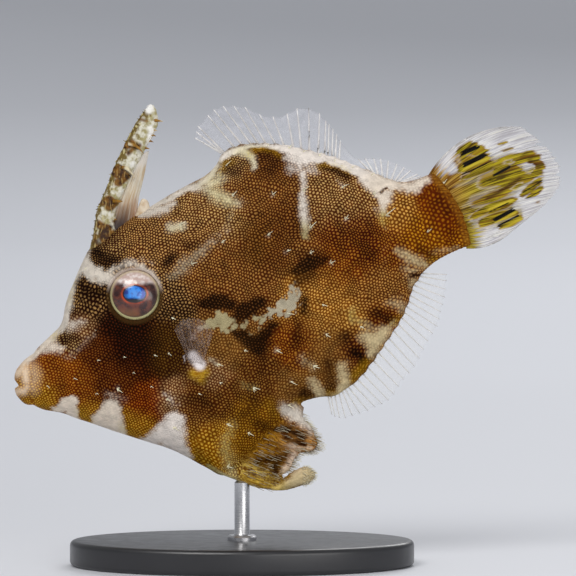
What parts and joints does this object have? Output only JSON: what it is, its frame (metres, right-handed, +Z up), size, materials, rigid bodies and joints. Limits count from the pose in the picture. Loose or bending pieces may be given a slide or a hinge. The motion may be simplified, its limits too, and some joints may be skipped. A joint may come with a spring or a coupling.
{
  "type": "bristletail filefish museum model",
  "caption": "Small deep-bodied filefish with a barbed upright spine, ventral flap and soft fins, held head-down on a plain oval display stand.",
  "frame": {"origin": "middle of the underside of the stand's oval base", "axes": "+Z up, +X from the fish's snout towards its tail, +Y towards the fish's right side"},
  "size_m": [0.0856, 0.034, 0.0722],
  "materials": {
    "skin": "velvety brown skin with a fine pale net and cream patches",
    "fin": "thin clear membrane with pale rays, olive patches on the tail",
    "spine": "bony spine banded brown and cream",
    "eye": "wet gloss, maroon iris and dark pupil",
    "stand_base": "satin black",
    "stand_rod": "brushed"
  },
  "bodies": {
    "root": {"head": "skin", "trunk": "skin", "tail_stalk": "skin", "ventral_flap": "skin", "pelvic_rudiment": "skin", "eye_left": "eye", "eye_right": "eye", "first_dorsal_spine": "spine", "second_dorsal_spine": "spine", "spine_membrane": "fin", "soft_dorsal_fin": "fin", "anal_fin": "fin", "tail_fin": "fin", "pectoral_fin_left": "fin", "pectoral_fin_right": "fin", "stand_base": "stand_base", "stand_rod": "stand_rod"}
  },
  "joints": []
}
